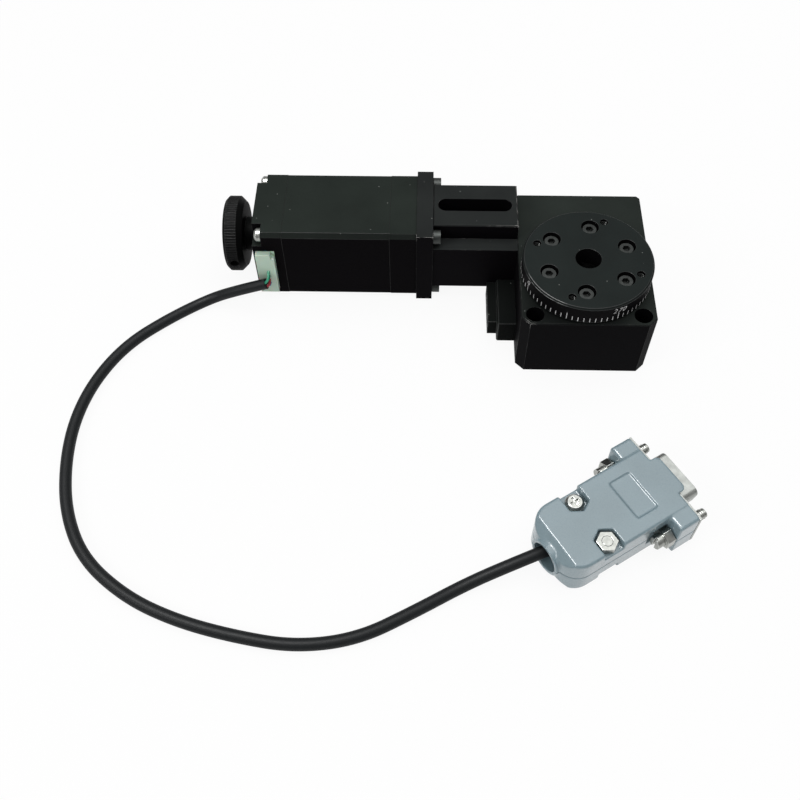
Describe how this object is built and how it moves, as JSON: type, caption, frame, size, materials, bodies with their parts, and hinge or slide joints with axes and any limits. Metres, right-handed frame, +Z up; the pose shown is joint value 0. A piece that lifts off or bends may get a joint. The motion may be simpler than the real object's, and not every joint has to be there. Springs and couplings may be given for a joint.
{
  "type": "motorised rotation stage",
  "caption": "Small bench rotation stage: a round drilled table turned through a worm drive by a square stepping motor with a hand knob, with a short lead to a D plug.",
  "frame": {"origin": "the table's axis of rotation in the plane of the base's underside", "axes": "+X from the motor towards the base, +Y away from the front mounting holes, +Z up through the table"},
  "size_m": [0.1887, 0.1521, 0.0304],
  "materials": {
    "black_anodised": "satin black anodised",
    "motor_caps": "satin black coated casting",
    "motor_paint": "satin black paint",
    "knob_black": "satin black anodised, straight knurl",
    "dark_screw_steel": "blackened steel",
    "bright_screw_steel": "nickel plated",
    "bearing_steel": "ground steel",
    "shaft_steel": "turned steel",
    "rotor_steel": "laminated steel",
    "wheel_bronze": "cut bronze",
    "coupling_black": "black anodised",
    "spider_rubber": "moulded",
    "connector_nylon": "translucent nylon",
    "wire_insulation": "thin coloured insulation",
    "cord_sheath": "soft black sheath",
    "hood_plastic": "moulded grey-blue plastic",
    "shell_steel": "nickel plated steel",
    "insert_plastic": "moulded black plastic",
    "contact_gold": "gold flashed"
  },
  "bodies": {
    "base": {"base_body": "black_anodised", "table_bearing_outer_ring": "bearing_steel", "bearing_retainer": "black_anodised", "worm_bearing_outer_rings": "bearing_steel", "worm_retainer": "black_anodised", "motor_bracket": "black_anodised", "bracket_screws": "dark_screw_steel", "motor_screws": "dark_screw_steel", "motor_front_cap": "motor_caps", "motor_stator": "motor_paint", "motor_rear_cap": "motor_caps", "motor_case_screws": "bright_screw_steel", "motor_bearings": "bearing_steel", "connector_header": "connector_nylon", "connector_plug": "connector_nylon", "lead_wires": "wire_insulation", "side_block": "black_anodised", "side_block_screws": "dark_screw_steel", "cord": "cord_sheath", "cord_clamp": "hood_plastic", "plug_hood_top": "hood_plastic", "plug_hood_bottom": "hood_plastic", "plug_shell": "shell_steel", "plug_insert": "insert_plastic", "plug_contacts": "contact_gold", "plug_hood_screws": "bright_screw_steel", "plug_hood_nuts": "bright_screw_steel"},
    "table": {"table_top": "black_anodised", "table_screws": "dark_screw_steel", "hub": "shaft_steel", "worm_wheel": "wheel_bronze", "wheel_screws": "dark_screw_steel", "table_bearing_inner_ring": "bearing_steel", "hub_lock_nut": "shaft_steel"},
    "drive": {"worm_shaft": "shaft_steel", "worm_bearing_inner_rings": "bearing_steel", "coupling_hub_worm": "coupling_black", "coupling_spider": "spider_rubber", "coupling_hub_motor": "coupling_black", "coupling_set_screws": "dark_screw_steel", "motor_shaft": "shaft_steel", "motor_rotor": "rotor_steel", "hand_knob": "knob_black", "knob_set_screw": "dark_screw_steel"},
    "jack_left": {"jack_screw_left": "bright_screw_steel"},
    "jack_right": {"jack_screw_right": "bright_screw_steel"}
  },
  "joints": [
    {"name": "table_turn", "type": "hinge", "parent": "base", "child": "table", "pos_m": [0, 0, 0.0272], "axis": [0, 0, 1], "continuous": true},
    {"name": "drive_turn", "type": "hinge", "parent": "base", "child": "drive", "pos_m": [0, 0.0233, 0.015], "axis": [1, 0, 0], "continuous": true},
    {"name": "jack_left_turn", "type": "hinge", "parent": "base", "child": "jack_left", "pos_m": [0.00392, -0.06059, 0.0073], "axis": [0.8387, 0.5446, 0], "continuous": true},
    {"name": "jack_right_turn", "type": "hinge", "parent": "base", "child": "jack_right", "pos_m": [0.01754, -0.08156, 0.0073], "axis": [0.8387, 0.5446, 0], "continuous": true}
  ],
  "couplings": [
    {"joint": "table_turn", "follows": "drive_turn", "ratio": 0.013889}
  ]
}
